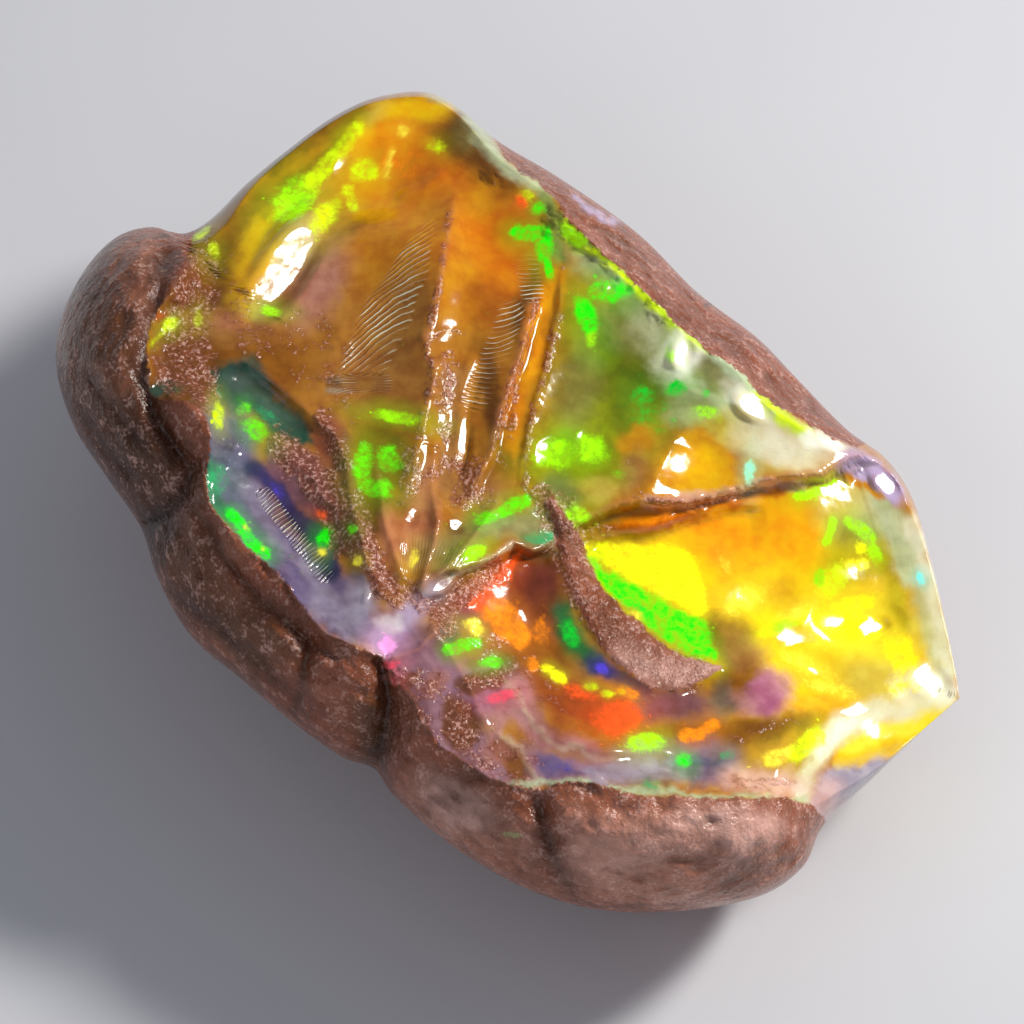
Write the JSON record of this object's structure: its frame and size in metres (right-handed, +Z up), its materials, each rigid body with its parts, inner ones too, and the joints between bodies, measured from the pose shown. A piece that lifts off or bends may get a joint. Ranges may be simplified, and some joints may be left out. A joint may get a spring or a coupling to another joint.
{
  "type": "rough opal specimen",
  "caption": "Broken nodule of rough fire opal: a shell-fractured amber face with green, yellow and red flashes, in a lumpy brown rind that rests on a small flat patch.",
  "frame": {"origin": "middle of the stone's box, on the ground plane that its flat resting patch lies in", "axes": "+Z up from the resting patch, -Y towards the lower edge of the broken face, +X towards its pointed toe"},
  "size_m": [0.0632, 0.0668, 0.027],
  "materials": {
    "opal": "wet-looking, glassy on the broken opal face and half-dull, fine-grained and red-brown on the rind"
  },
  "bodies": {
    "root": {"opal_nodule": "opal"}
  },
  "joints": []
}
